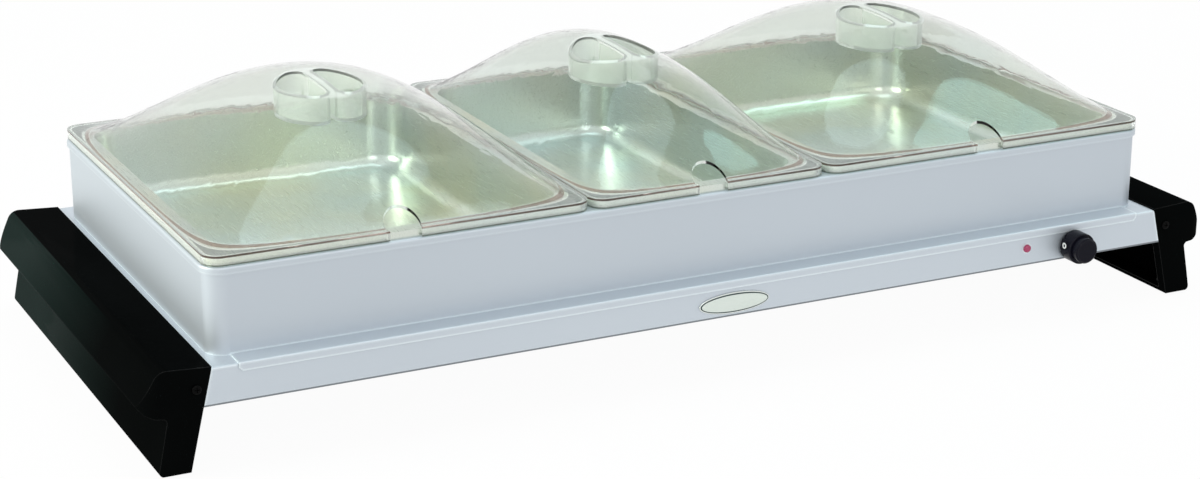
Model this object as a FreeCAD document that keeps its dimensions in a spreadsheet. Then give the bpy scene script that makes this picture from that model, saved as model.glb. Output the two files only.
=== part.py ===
import FreeCAD, Part

import math
import os
from types import SimpleNamespace

import Sketcher
from FreeCAD import Placement, Rotation, Vector

# Electric food warmer: a low heated housing between two moulded end handles, a lift-off frame
# that holds three pans side by side, and a clear domed lid on each pan.
# Millimetres. X runs along the row of pans, Y from front to back and Z up. The origin is on the
# ground under the middle of the whole product, knob and cord gland included. Each piece is drawn
# about the middle of the housing or about its own axis, and its Placement puts it in its place.

SIZES = {
    # housing
    "base_length": 731.0,
    "base_depth": 366.0,
    "base_height": 25.5,
    "base_sheet": 1.0,
    "base_hem": 14.0,
    "cover_sheet": 0.8,
    "cover_gap": 6.0,
    "vent_length": 34.0,
    "vent_width": 4.0,
    "vent_pitch": 16.0,
    "vent_count": 6,
    # end handles
    "leg_height": 68.0,
    "leg_lean": 16.5,
    "handle_rise": 1.0,
    "handle_width": 35.0,
    "handle_crown": 3.2,
    "handle_wall": 3.0,
    "end_wall": 8.0,
    "lip_reach": 48.0,
    "lip_drop": 21.5,
    "chin_reach": 44.0,
    "chin_drop": 26.0,
    "under_reach": 38.0,
    "under_drop": 28.5,
    "grip_reach": 30.0,
    "grip_drop": 29.5,
    "foot_reach": 38.0,
    "end_radius": 13.0,
    "crown_radius": 9.0,
    "lip_radius": 1.5,
    "grip_radius": 3.0,
    "rib_width": 2.5,
    "bay_count": 3,
    "bracket_sheet": 2.0,
    "bracket_width": 22.0,
    "bracket_drop": 4.0,
    "bracket_height": 15.0,
    # rubber feet
    "rubber_diameter": 12.0,
    "rubber_out": 2.5,
    "rubber_stem": 5.0,
    "rubber_inset": 20.0,
    # frame that holds the pans
    "frame_length": 722.0,
    "frame_depth": 333.5,
    "frame_height": 60.0,
    "frame_sheet": 1.2,
    "frame_corner": 14.0,
    "frame_bead": 1.6,
    "bead_height": 5.0,
    "flange_inset": 13.0,
    "flange_drop": 4.6,
    "flange_gap": 0.5,
    "divider_height": 40.0,
    "divider_width": 12.0,
    # pans
    "wide_lid": 269.5,
    "narrow_lid": 181.5,
    "lid_gap": 0.8,
    "pan_depth": 55.0,
    "pan_sheet": 0.8,
    "pan_rim": 10.0,
    "rim_drop": 5.0,
    "pan_corner": 25.0,
    "pan_bottom": 12.0,
    "pan_taper": 3.0,
    "pan_slack": 1.5,
    # lids
    "lid_depth": 335.5,
    "lid_wall": 2.2,
    "lid_corner": 12.0,
    "lid_slack": 0.9,
    "lid_lift": 0.4,
    "dome_height": 69.5,
    "grip_length": 70.0,
    "grip_width": 25.5,
    "grip_web": 8.0,
    "grip_floor": 48.0,
    "grip_back": 13.5,
    "grip_corner": 7.0,
    "notch_radius": 12.5,
    "notch_in": 6.0,
    # heater under the housing's top
    "spreader_length": 640.0,
    "spreader_depth": 270.0,
    "spreader_sheet": 1.5,
    "element_sheet": 2.0,
    "element_gap": 16.0,
    "blanket_sheet": 8.0,
    "cutout_diameter": 16.0,
    "cutout_height": 7.0,
    # control
    "knob_offset": 291.5,
    "knob_drop": 2.4,
    "knob_diameter": 23.0,
    "knob_depth": 11.5,
    "cap_diameter": 19.0,
    "cap_depth": 6.0,
    "knob_clear": 0.6,
    "shaft_diameter": 6.0,
    "shaft_slack": 0.05,
    "bush_diameter": 9.0,
    "switch_diameter": 18.0,
    "switch_depth": 18.0,
    "lamp_offset": 252.0,
    "lamp_diameter": 6.0,
    "lamp_out": 2.2,
    "lamp_body": 8.0,
    "lamp_length": 14.0,
    # where the supply comes in
    "gland_offset": 300.0,
    "gland_diameter": 12.0,
    "gland_collar": 16.0,
    "gland_bore": 7.0,
    "gland_out": 9.0,
    "block_length": 36.0,
    "block_depth": 18.0,
    "block_height": 14.0,
}

# The dome's profile: how full it is across and along, and how far its surface runs down below
# the ledge at the lid's edges.
ACROSS_POWER = 2.04
ACROSS_FALL = 0.955
ALONG_POWER = 2.68
ALONG_FALL = 1.216
LEDGE_SINK = 2.1
DOME_POINTS = 15

SLANT = 1.2        # a wall cut along its slope is this much longer than its thickness
THROUGH = 5.0      # how far a cutting shape runs past what it cuts

DOC = FreeCAD.newDocument("FoodWarmer")


class Dim:
    """A size that is known as a number and as the expression that gives it in the document."""

    def __init__(self, value, text):
        self.value = value
        self.text = text

    def __add__(self, other):
        other = as_dim(other)
        return Dim(self.value + other.value, f"({self.text} + {other.text})")

    def __sub__(self, other):
        other = as_dim(other)
        return Dim(self.value - other.value, f"({self.text} - {other.text})")

    def __mul__(self, other):
        other = as_dim(other)
        return Dim(self.value * other.value, f"{self.text} * {other.text}")

    def __truediv__(self, other):
        other = as_dim(other)
        return Dim(self.value / other.value, f"{self.text} / {other.text}")

    def __neg__(self):
        return Dim(-self.value, f"(0 - {self.text})")


def as_dim(size):
    """Wraps a plain number, so that it can be used like a size from the sheet."""
    return size if isinstance(size, Dim) else Dim(float(size), f"({float(size)})")


def make_sheet():
    """Puts the sizes in the document's sheet and gives them back by name."""
    sheet = DOC.addObject("Spreadsheet::Sheet", "Sizes")
    for row, (name, value) in enumerate(SIZES.items(), 1):
        sheet.set(f"A{row}", name)
        sheet.set(f"B{row}", str(value))
        sheet.setAlias(f"B{row}", name)
    DOC.recompute()
    return SimpleNamespace(**{name: Dim(value, "Sizes." + name) for name, value in SIZES.items()})


D = make_sheet()


# ---------------------------------------------------------------------------
# Heights and places that several pieces share

BASE_TOP = D.rubber_out + D.leg_height
BASE_BOTTOM = BASE_TOP - D.base_height
FRAME_TOP = BASE_TOP + D.frame_height
RIM_TOP = FRAME_TOP + D.rim_drop
LEAN = D.leg_lean / D.leg_height
HALF_BASE = D.base_length / 2
FLANGE_OUT = D.base_depth / 2 + D.flange_gap + D.frame_sheet
LID_LEDGE = D.rim_drop - D.lid_lift + D.lid_wall
PANEL_MIDDLE = BASE_TOP - D.base_height / 2
PANEL_FRONT = -(D.base_depth / 2)
KNOB_HEIGHT = PANEL_MIDDLE - D.knob_drop
KNOB_GAP = D.flange_gap + D.frame_sheet + D.knob_clear
FRONT_REACH = KNOB_GAP + D.knob_depth + D.cap_depth
MIDDLE_Y = (FRONT_REACH - D.gland_out) / 2
HEATER_TOP = BASE_TOP - D.base_sheet
ELEMENT_TOP = HEATER_TOP - D.spreader_sheet
BLANKET_TOP = ELEMENT_TOP - D.element_sheet
BAY_LENGTH = (D.base_depth - D.end_wall * 2 - D.rib_width * (D.bay_count - 1)) / D.bay_count
PITCH = (D.wide_lid + D.narrow_lid) / 2 + D.lid_gap

WELLS = (
    ("left", D.wide_lid, -PITCH),
    ("middle", D.narrow_lid, as_dim(0)),
    ("right", D.wide_lid, PITCH),
)


def rim_width(lid_width):
    """The pan's rim fits inside the lid's skirt."""
    return lid_width - (D.lid_wall + D.lid_slack) * 2


def rim_depth():
    return D.lid_depth - (D.lid_wall + D.lid_slack) * 2


def well_width(lid_width):
    """The pan's body hangs inside its rim."""
    return rim_width(lid_width) - D.pan_rim * 2


def well_depth():
    return rim_depth() - D.pan_rim * 2


# ---------------------------------------------------------------------------
# Document helpers

def bind(thing, prop, size):
    """Sets a property and ties it to the sheet."""
    thing.setExpression(prop, as_dim(size).text)


def new_body(label):
    body = DOC.addObject("PartDesign::Body", label)
    body.Label = label
    return body


def place(thing, x=0, y=0, z=0):
    """Stands a finished piece at its place, measured from the middle of the housing."""
    x, y, z = as_dim(x), MIDDLE_Y + y, as_dim(z)
    thing.Placement = Placement(Vector(x.value, y.value, z.value), thing.Placement.Rotation)
    bind(thing, "Placement.Base.x", x)
    bind(thing, "Placement.Base.y", y)
    bind(thing, "Placement.Base.z", z)


def new_sketch(body, role, offset=0):
    """A sketch on one of the body's own planes; an XZ plane's offset runs towards the front."""
    sketch = body.newObject("Sketcher::SketchObject", "Sketch")
    plane = next(item for item in body.Origin.OriginFeatures if item.Role == role)
    sketch.AttachmentSupport = [(plane, "")]
    sketch.MapMode = "FlatFace"
    offset = as_dim(offset)
    sketch.AttachmentOffset = Placement(Vector(0, 0, offset.value), Rotation())
    bind(sketch, "AttachmentOffset.Base.z", offset)
    return sketch


def hold(sketch, kind, *where):
    """Adds a constraint whose value, its last argument, is tied to the sheet."""
    size = as_dim(where[-1])
    index = sketch.addConstraint(Sketcher.Constraint(kind, *where[:-1], size.value))
    bind(sketch, f"Constraints[{index}]", size)


def polygon(sketch, points):
    """A closed outline through the points, each held by its distances from the origin."""
    points = [(as_dim(x), as_dim(y)) for x, y in points]
    first = sketch.GeometryCount
    corners = [Vector(x.value, y.value, 0) for x, y in points]
    for start, end in zip(corners, corners[1:] + corners[:1]):
        sketch.addGeometry(Part.LineSegment(start, end))
    for index, (x, y) in enumerate(points):
        line = first + index
        after = first + (index + 1) % len(points)
        sketch.addConstraint(Sketcher.Constraint("Coincident", line, 2, after, 1))
        hold(sketch, "DistanceX", -1, 1, line, 1, x)
        hold(sketch, "DistanceY", -1, 1, line, 1, y)


def rectangle(sketch, x, y, width, height):
    x, y = as_dim(x), as_dim(y)
    left, right = x - width / 2, x + width / 2
    low, high = y - height / 2, y + height / 2
    polygon(sketch, [(left, low), (right, low), (right, high), (left, high)])


def round_rectangle(sketch, x, y, width, height, radius):
    """A rectangle whose corners are arcs, drawn anticlockwise from its lower side."""
    x, y = as_dim(x), as_dim(y)
    left, right = x - width / 2, x + width / 2
    low, high = y - height / 2, y + height / 2
    r = radius.value
    x0, x1, y0, y1 = left.value, right.value, low.value, high.value
    sides = [
        ((x0 + r, y0), (x1 - r, y0)),
        ((x1, y0 + r), (x1, y1 - r)),
        ((x1 - r, y1), (x0 + r, y1)),
        ((x0, y1 - r), (x0, y0 + r)),
    ]
    centres = [(x1 - r, y0 + r), (x1 - r, y1 - r), (x0 + r, y1 - r), (x0 + r, y0 + r)]
    first = sketch.GeometryCount
    for start, end in sides:
        sketch.addGeometry(Part.LineSegment(Vector(*start, 0), Vector(*end, 0)))
    for turn, centre in enumerate(centres):
        circle = Part.Circle(Vector(*centre, 0), Vector(0, 0, 1), r)
        start = (turn - 1) * math.pi / 2
        sketch.addGeometry(Part.ArcOfCircle(circle, start, start + math.pi / 2))
    for turn in range(4):
        side, arc, after = first + turn, first + 4 + turn, first + (turn + 1) % 4
        sketch.addConstraint(Sketcher.Constraint("Tangent", side, 2, arc, 1))
        sketch.addConstraint(Sketcher.Constraint("Tangent", arc, 2, after, 1))
        if turn:
            sketch.addConstraint(Sketcher.Constraint("Equal", first + 4, arc))
    for turn, kind in enumerate(("Horizontal", "Vertical", "Horizontal", "Vertical")):
        sketch.addConstraint(Sketcher.Constraint(kind, first + turn))
    hold(sketch, "Radius", first + 4, radius)
    hold(sketch, "DistanceY", -1, 1, first, 1, low)
    hold(sketch, "DistanceX", -1, 1, first + 1, 1, right)
    hold(sketch, "DistanceY", -1, 1, first + 2, 1, high)
    hold(sketch, "DistanceX", -1, 1, first + 3, 1, left)


def circle(sketch, x, y, diameter):
    x, y, radius = as_dim(x), as_dim(y), as_dim(diameter) / 2
    middle = Vector(x.value, y.value, 0)
    line = sketch.addGeometry(Part.Circle(middle, Vector(0, 0, 1), radius.value))
    hold(sketch, "Radius", line, radius)
    hold(sketch, "DistanceX", -1, 1, line, 3, x)
    hold(sketch, "DistanceY", -1, 1, line, 3, y)


def extrude(kind, body, sketch, length, middle, flip, taper):
    feature = body.newObject(kind, kind.split("::")[1])
    feature.Profile = sketch
    feature.SideType = "Symmetric" if middle else "One side"
    feature.Reversed = flip
    bind(feature, "Length", length)
    bind(feature, "TaperAngle", taper)
    body.Tip = feature
    DOC.recompute()
    return feature


def pad(body, sketch, length, middle=False, flip=False, taper=0):
    return extrude("PartDesign::Pad", body, sketch, length, middle, flip, taper)


def pocket(body, sketch, length, middle=False, flip=False, taper=0):
    """Cuts the sketch out of the body and makes sure that something was cut."""
    before = body.Shape.Volume
    feature = extrude("PartDesign::Pocket", body, sketch, length, middle, flip, taper)
    if body.Shape.Volume > before * (1 - 1e-9):
        raise RuntimeError(f"{body.Label}: a pocket cut nothing")
    return feature


def repeat(body, feature, sketch, axis, span, count):
    """Repeats a feature along one of its sketch's axes; the span is from first to last."""
    pattern = body.newObject("PartDesign::LinearPattern", "LinearPattern")
    pattern.Originals = [feature]
    pattern.Direction = (sketch, [axis])
    bind(pattern, "Length", span)
    bind(pattern, "Occurrences", count)
    body.Tip = pattern
    DOC.recompute()
    return pattern


def mirror(body, features, role):
    """Repeats features on the other side of one of the body's planes."""
    plane = next(item for item in body.Origin.OriginFeatures if item.Role == role)
    mirrored = body.newObject("PartDesign::Mirrored", "Mirrored")
    mirrored.Originals = features
    mirrored.MirrorPlane = (plane, [""])
    body.Tip = mirrored
    DOC.recompute()
    return mirrored


def dress(kind, body, wanted, prop, size):
    """Rounds or bevels the edges of the body that a test picks."""
    base = body.Tip
    names = [f"Edge{n}" for n, edge in enumerate(base.Shape.Edges, 1) if wanted(edge)]
    if not names:
        raise RuntimeError(f"{body.Label}: no edge found to work on")
    feature = body.newObject(kind, kind.split("::")[1])
    feature.Base = (base, names)
    bind(feature, prop, size)
    body.Tip = feature
    DOC.recompute()
    return feature


def fillet(body, wanted, radius):
    return dress("PartDesign::Fillet", body, wanted, "Radius", radius)


def chamfer(body, wanted, size):
    return dress("PartDesign::Chamfer", body, wanted, "Size", size)


def revolve(body, sketch):
    """Turns a sketch around its own upright axis."""
    feature = body.newObject("PartDesign::Revolution", "Revolution")
    feature.Profile = sketch
    feature.ReferenceAxis = (sketch, ["V_Axis"])
    feature.Angle = 360
    body.Tip = feature
    DOC.recompute()
    return feature


def along(direction):
    """A test for straight edges that run the given way."""
    def test(edge):
        if edge.Curve.TypeId != "Part::GeomLine":
            return False
        return abs(edge.tangentAt(edge.FirstParameter).dot(direction)) > 0.999
    return test


def passes(edge, x=None, y=None, z=None, slack=0.01):
    """Whether the middle of an edge lies at the given coordinates."""
    middle = edge.valueAt((edge.FirstParameter + edge.LastParameter) / 2)
    pairs = ((x, middle.x), (y, middle.y), (z, middle.z))
    return all(want is None or abs(as_dim(want).value - got) < slack for want, got in pairs)


def flat_at(edge, z):
    """Whether an edge lies all round at one height."""
    z = as_dim(z).value
    return abs(edge.BoundBox.ZMin - z) < 0.01 and abs(edge.BoundBox.ZMax - z) < 0.01


UP = Vector(0, 0, 1)
BACK = Vector(0, 1, 0)


# ---------------------------------------------------------------------------
# Housing

def make_base_housing():
    """A folded pan of sheet, open below, whose ends slope with the handles' inner faces."""
    body = new_body("base_housing")
    spread = LEAN * D.base_height
    outer = new_sketch(body, "XZ_Plane")
    polygon(outer, [
        (-HALF_BASE, BASE_TOP),
        (-HALF_BASE - spread, BASE_BOTTOM),
        (HALF_BASE + spread, BASE_BOTTOM),
        (HALF_BASE, BASE_TOP),
    ])
    pad(body, outer, D.base_depth, middle=True)
    long_edge = along(Vector(1, 0, 0))
    fillet(body, lambda e: long_edge(e) and flat_at(e, BASE_TOP), D.base_sheet * 1.5)
    inner = new_sketch(body, "XZ_Plane")
    low, high = BASE_BOTTOM + D.base_sheet, BASE_TOP - D.base_sheet
    polygon(inner, [
        (-HALF_BASE + D.base_sheet, high),
        (-HALF_BASE - spread + D.base_sheet * SLANT, low),
        (HALF_BASE + spread - D.base_sheet * SLANT, low),
        (HALF_BASE - D.base_sheet, high),
    ])
    pocket(body, inner, D.base_depth - D.base_sheet * 2, middle=True)
    mouth = new_sketch(body, "XY_Plane", BASE_BOTTOM)
    length = (HALF_BASE + spread - D.base_hem) * 2
    rectangle(mouth, 0, 0, length, D.base_depth - D.base_hem * 2)
    pocket(body, mouth, D.base_sheet * 2, flip=True)
    front = new_sketch(body, "XZ_Plane", D.base_depth / 2)
    circle(front, D.knob_offset, KNOB_HEIGHT, D.bush_diameter)
    circle(front, D.lamp_offset, PANEL_MIDDLE, D.lamp_diameter)
    pocket(body, front, D.base_sheet + THROUGH)
    rear = new_sketch(body, "XZ_Plane", -(D.base_depth / 2))
    circle(rear, D.gland_offset, PANEL_MIDDLE, D.gland_diameter)
    pocket(body, rear, D.base_sheet + THROUGH, flip=True)
    place(body)


def make_bottom_cover():
    """A flat cover under the housing's hems, with two rows of vent slots."""
    body = new_body("bottom_cover")
    sheet = new_sketch(body, "XY_Plane", BASE_BOTTOM - D.cover_sheet)
    rectangle(sheet, 0, 0, D.base_length - D.cover_gap * 2, D.base_depth - D.cover_gap * 2)
    pad(body, sheet, D.cover_sheet)
    row = D.vent_pitch * (D.vent_count - 1)
    for side in (-1, 1):
        slot = new_sketch(body, "XY_Plane", BASE_BOTTOM - D.cover_sheet)
        y = D.base_depth * 0.25 * side
        round_rectangle(slot, -(row / 2), y, D.vent_width, D.vent_length, D.vent_width * 0.45)
        cut = pocket(body, slot, D.cover_sheet, flip=True)
        repeat(body, cut, slot, "H_Axis", row, D.vent_count)
    place(body)


# ---------------------------------------------------------------------------
# End handles

def make_handle(label, side):
    """A moulded leg and grip of one section with rounded ends, hollow towards the housing and
    ribbed across."""
    body = new_body(label)

    def points(rows):
        return [((HALF_BASE + x) * side, BASE_TOP + z) for x, z in rows]

    foot = -D.leg_height
    outline = points([
        (as_dim(0), D.handle_rise),
        (D.handle_width, D.handle_crown),
        (D.lip_reach, -D.lip_drop),
        (D.chin_reach, -D.chin_drop),
        (D.under_reach, -D.under_drop),
        (D.grip_reach, -D.grip_drop),
        (D.foot_reach, foot),
        (D.leg_lean, foot),
    ])
    section = new_sketch(body, "XZ_Plane")
    polygon(section, outline)
    pad(body, section, D.base_depth, middle=True)
    round_along(body, outline[1:2], D.crown_radius)
    round_along(body, outline[2:4], D.lip_radius)
    round_along(body, outline[5:7], D.grip_radius)
    plan = new_sketch(body, "XY_Plane")
    length = (HALF_BASE + D.lip_reach) * 2
    rectangle(plan, 0, 0, length + THROUGH * 2, D.base_depth + THROUGH * 2)
    round_rectangle(plan, 0, 0, length, D.base_depth, D.end_radius)
    pocket(body, plan, BASE_TOP + THROUGH, flip=True)
    slanted = D.handle_wall * SLANT
    hollow = points([
        (-D.handle_wall, D.handle_rise - D.handle_wall),
        (D.handle_width - slanted, D.handle_crown - slanted),
        (D.lip_reach - slanted, -D.lip_drop),
        (D.under_reach - slanted, -D.under_drop + D.handle_wall),
        (D.grip_reach - slanted, -D.grip_drop + D.handle_wall),
        (D.foot_reach - slanted, foot + D.handle_wall),
        (D.leg_lean - D.handle_wall, foot + D.handle_wall),
    ])
    first = D.base_depth / 2 - D.end_wall
    bay = new_sketch(body, "XZ_Plane", first)
    polygon(bay, hollow)
    cut = pocket(body, bay, BAY_LENGTH)
    repeat_back(body, cut, bay, (BAY_LENGTH + D.rib_width) * (D.bay_count - 1), D.bay_count)
    stems = new_sketch(body, "XY_Plane", D.rubber_out)
    for end in (-1, 1):
        circle(stems, foot_x(side), foot_y(end), D.rubber_stem)
    pocket(body, stems, D.handle_wall, flip=True)
    place(body)


def round_along(body, corners, radius):
    """Rounds the edges that run front to back through the given corners of a section."""
    runs_back = along(BACK)
    fillet(body, lambda e: runs_back(e) and any(passes(e, x=x, z=z) for x, z in corners), radius)


def repeat_back(body, feature, sketch, span, count):
    """Repeats a feature towards the back of a body."""
    pattern = repeat(body, feature, sketch, "N_Axis", span, count)
    pattern.Reversed = True
    DOC.recompute()


def foot_x(side):
    """The rubber foot stands in the middle of the handle's foot."""
    return (HALF_BASE + (D.leg_lean + D.foot_reach) / 2) * side


def foot_y(end):
    return (D.base_depth / 2 - D.rubber_inset) * end


def make_rubber_foot(label, side, end):
    """A pad with a stem that is pushed up through the handle's floor."""
    body = new_body(label)
    half = D.rubber_diameter / 2
    stem = D.rubber_stem / 2
    bulb = D.rubber_stem / 2 + 1
    top = D.rubber_out + D.handle_wall
    profile = new_sketch(body, "XZ_Plane")
    polygon(profile, [
        (0, 0), (half - 1, 0), (half, 1), (half, D.rubber_out),
        (stem, D.rubber_out), (stem, top), (bulb, top), (stem, top + 3), (0, top + 3),
    ])
    revolve(body, profile)
    place(body, foot_x(side), foot_y(end))


def make_bracket(label, side, end):
    """An angle bracket that ties a handle's end wall to the sloping end of the housing."""
    body = new_body(label)
    top, bottom = BASE_TOP - D.bracket_drop, BASE_TOP - D.bracket_drop - D.bracket_height
    near_top = HALF_BASE + LEAN * D.bracket_drop
    near_bottom = near_top + LEAN * D.bracket_height
    wall = D.base_depth / 2 - D.end_wall
    rest = new_sketch(body, "XZ_Plane", -wall * end)
    sheet = D.bracket_sheet
    polygon(rest, [
        (near_top * side, top),
        ((near_top + sheet) * side, top),
        ((near_bottom + sheet) * side, bottom),
        (near_bottom * side, bottom),
    ])
    pad(body, rest, D.bracket_width, flip=end < 0)
    web = new_sketch(body, "XZ_Plane", -wall * end)
    polygon(web, [
        (near_top * side, top),
        ((near_top + D.bracket_width) * side, top),
        ((near_top + D.bracket_width) * side, bottom),
        (near_bottom * side, bottom),
    ])
    pad(body, web, sheet, flip=end < 0)
    place(body)


# ---------------------------------------------------------------------------
# Frame

def make_frame():
    """A deep sheet frame with a rolled top edge, an opening for each pan and a flange front and
    back that lies on the housing and turns down over its edges."""
    body = new_body("pan_frame")
    outer = new_sketch(body, "XY_Plane", BASE_TOP)
    round_rectangle(outer, 0, 0, D.frame_length, D.frame_depth, D.frame_corner)
    pad(body, outer, D.frame_height)
    bead = new_sketch(body, "XY_Plane", FRAME_TOP)
    grow = D.frame_bead * 2
    corner = D.frame_corner + D.frame_bead
    round_rectangle(bead, 0, 0, D.frame_length + grow, D.frame_depth + grow, corner)
    pad(body, bead, D.bead_height, flip=True)
    fillet(body, lambda e: flat_at(e, FRAME_TOP), D.bead_height * 0.45)
    inner = new_sketch(body, "XY_Plane", BASE_TOP)
    shrink = D.frame_sheet * 2
    corner = D.frame_corner - D.frame_sheet
    round_rectangle(inner, 0, 0, D.frame_length - shrink, D.frame_depth - shrink, corner)
    pocket(body, inner, D.frame_height - D.frame_sheet, flip=True)
    top = new_sketch(body, "XY_Plane", FRAME_TOP)
    for _, lid_width, x in WELLS:
        width = well_width(lid_width) + D.pan_slack * 2
        depth = well_depth() + D.pan_slack * 2
        round_rectangle(top, x, 0, width, depth, D.pan_corner)
    pocket(body, top, D.frame_sheet * 2)
    make_flange(body)
    place(body)


def make_flange(body):
    """The front flange and its twin at the back."""
    section = new_sketch(body, "YZ_Plane")
    wall = D.frame_depth / 2 - D.frame_sheet
    sheet = D.frame_sheet
    polygon(section, [
        (-wall, BASE_TOP),
        (-wall, BASE_TOP + sheet),
        (-FLANGE_OUT, BASE_TOP + sheet),
        (-FLANGE_OUT, BASE_TOP - D.flange_drop),
        (-FLANGE_OUT + sheet, BASE_TOP - D.flange_drop),
        (-FLANGE_OUT + sheet, BASE_TOP),
    ])
    front = pad(body, section, D.frame_length - D.flange_inset * 2, middle=True)
    mirror(body, [front], "XZ_Plane")
    runs_along = along(Vector(1, 0, 0))

    def bend(edge):
        return runs_along(edge) and abs(abs(edge.CenterOfMass.y) - FLANGE_OUT.value) < 0.01 \
            and passes(edge, z=BASE_TOP + sheet)
    fillet(body, bend, sheet)
    runs_back = along(BACK)
    low = BASE_TOP - D.flange_drop
    chamfer(body, lambda e: runs_back(e) and passes(e, z=low) and e.Length < 5, D.flange_drop / 2)


def make_divider(label, side):
    """A channel under the strip between two openings."""
    body = new_body(label)
    x = (D.narrow_lid + D.lid_gap) / 2 * side
    top = FRAME_TOP - D.frame_sheet
    section = new_sketch(body, "XZ_Plane")
    half, sheet = D.divider_width / 2, D.frame_sheet
    polygon(section, [
        (x - half, top), (x - half, top - D.divider_height),
        (x - half + sheet, top - D.divider_height), (x - half + sheet, top - sheet),
        (x + half - sheet, top - sheet), (x + half - sheet, top - D.divider_height),
        (x + half, top - D.divider_height), (x + half, top),
    ])
    pad(body, section, D.frame_depth - D.frame_sheet * 2, middle=True)
    place(body)


# ---------------------------------------------------------------------------
# Pans

def well_block(label, lid_width, sink):
    """The tapered block of a pan's well, or of the space inside it when sink is the wall."""
    body = new_body(label)
    width, depth = well_width(lid_width) / 2 - sink, well_depth() / 2 - sink
    deep = D.pan_depth - sink
    wedge = body.newObject("PartDesign::AdditiveWedge", "Wedge")
    plane = next(item for item in body.Origin.OriginFeatures if item.Role == "XZ_Plane")
    wedge.AttachmentSupport = [(plane, "")]
    wedge.MapMode = "FlatFace"
    limits = {
        "Ymin": RIM_TOP - deep, "Ymax": RIM_TOP,
        "X2min": -width, "X2max": width, "Z2min": -depth, "Z2max": depth,
        "Xmin": -width + D.pan_taper, "Xmax": width - D.pan_taper,
        "Zmin": -depth + D.pan_taper, "Zmax": depth - D.pan_taper,
    }
    for prop, size in limits.items():
        setattr(wedge, prop, size.value)
        bind(wedge, prop, size)
    body.Tip = wedge
    DOC.recompute()
    fillet(body, lambda e: e.BoundBox.ZLength > deep.value / 2, D.pan_corner - sink)
    fillet(body, lambda e: flat_at(e, RIM_TOP - deep), D.pan_bottom - sink)
    return body


def make_pan(label, lid_width, x):
    """A drawn pan: a tapered well with rounded corners and a rim that turns down at its edge."""
    body = well_block(label, lid_width, as_dim(0))
    hollow = body.newObject("PartDesign::Boolean", "Boolean")
    hollow.setObjects([well_block(f"{label}_space", lid_width, D.pan_sheet)])
    hollow.Type = "Cut"
    body.Tip = hollow
    DOC.recompute()
    width, depth, sheet = well_width(lid_width), well_depth(), D.pan_sheet
    rim = new_sketch(body, "XY_Plane", RIM_TOP)
    corner = D.lid_corner - D.lid_wall
    round_rectangle(rim, 0, 0, rim_width(lid_width), rim_depth(), corner)
    round_rectangle(rim, 0, 0, width - sheet * 2, depth - sheet * 2, D.pan_corner - sheet)
    pad(body, rim, sheet, flip=True)
    edge = new_sketch(body, "XY_Plane", RIM_TOP)
    round_rectangle(edge, 0, 0, rim_width(lid_width), rim_depth(), corner)
    inner = corner - sheet
    round_rectangle(edge, 0, 0, rim_width(lid_width) - sheet * 2, rim_depth() - sheet * 2, inner)
    pad(body, edge, D.rim_drop, flip=True)
    place(body, x)


# ---------------------------------------------------------------------------
# Lids

def dome_height(across, back):
    """The dome's height above the lid's lower edge; both places run from -1 to 1."""
    fall = (1 - abs(across) ** ACROSS_POWER) ** ACROSS_FALL
    fall *= (1 - abs(back) ** ALONG_POWER) ** ALONG_FALL
    low = LID_LEDGE.value - LEDGE_SINK
    return low + (D.dome_height.value - low) * fall


def dome_cutter(width, depth, sink):
    """Everything above the dome's surface, which is lowered by sink for the inside."""
    shares = [-math.cos(math.pi * step / (DOME_POINTS - 1)) for step in range(DOME_POINTS)]
    surface = Part.BSplineSurface()
    surface.interpolate([
        [Vector(x * width / 2, y * depth / 2, dome_height(x, y) - sink) for y in shares]
        for x in shares
    ])
    return surface.toShape().extrude(UP * 2 * D.dome_height.value)


def domed_block(width, depth, inset, low):
    """A rounded block under the dome, with a flat ledge where the dome runs out."""
    size = (width - 2 * inset, depth - 2 * inset, D.lid_corner.value - inset)
    tall = block(*size, low, D.dome_height.value + THROUGH).cut(dome_cutter(width, depth, inset))
    return tall.fuse(block(*size, low, LID_LEDGE.value - inset))


def block(width, depth, radius, low, high):
    """An upright block with rounded corners."""
    shape = Part.makeBox(width, depth, high - low, Vector(-width / 2, -depth / 2, low))
    upright = along(UP)
    return shape.makeFillet(radius, [edge for edge in shape.Edges if upright(edge)])


def grip_prism(side, grow, low, high):
    """One finger pocket's D shape, flat towards the web; grow adds the wall around it."""
    half = D.grip_length.value / 2 + grow
    flat = (D.grip_web.value / 2 - grow) * side
    bulge = flat + (D.grip_width.value + 2 * grow) * side
    y = -D.grip_back.value
    start, end = Vector(flat, y + half, low), Vector(flat, y - half, low)
    arc = Part.Arc(end, Vector(bulge, y, low), start).toShape()
    shape = Part.Face(Part.Wire([Part.makeLine(start, end), arc])).extrude(UP * (high - low))
    upright = along(UP)
    edges = [edge for edge in shape.Edges if upright(edge)]
    return shape.makeFillet(D.grip_corner.value + grow, edges)


def make_lid(label, lid_width, x):
    """A moulded clear dome with a ledge and skirt, two finger pockets sunk in its crown with a
    web between them, and a notch for a spoon in its front edge."""
    width, depth, wall = lid_width.value, D.lid_depth.value, D.lid_wall.value
    tall = D.dome_height.value + THROUGH
    outside = domed_block(width, depth, 0, 0)
    shell = outside.cut(domed_block(width, depth, wall, -THROUGH))
    floor = D.grip_floor.value
    cups = [grip_prism(side, wall, floor - wall, tall).common(outside) for side in (-1, 1)]
    wells = [grip_prism(side, 0, floor, tall) for side in (-1, 1)]
    shell = shell.fuse(cups).cut(wells)
    middle = Vector(0, -depth / 2 + D.notch_in.value, -THROUGH)
    notch = Part.makeCylinder(D.notch_radius.value, tall, middle)
    lid = DOC.addObject("Part::Feature", label)
    lid.Label = label
    lid.Shape = shell.cut(notch).removeSplitter()
    place(lid, x, 0, FRAME_TOP + D.lid_lift)


# ---------------------------------------------------------------------------
# Heater inside the housing

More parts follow.
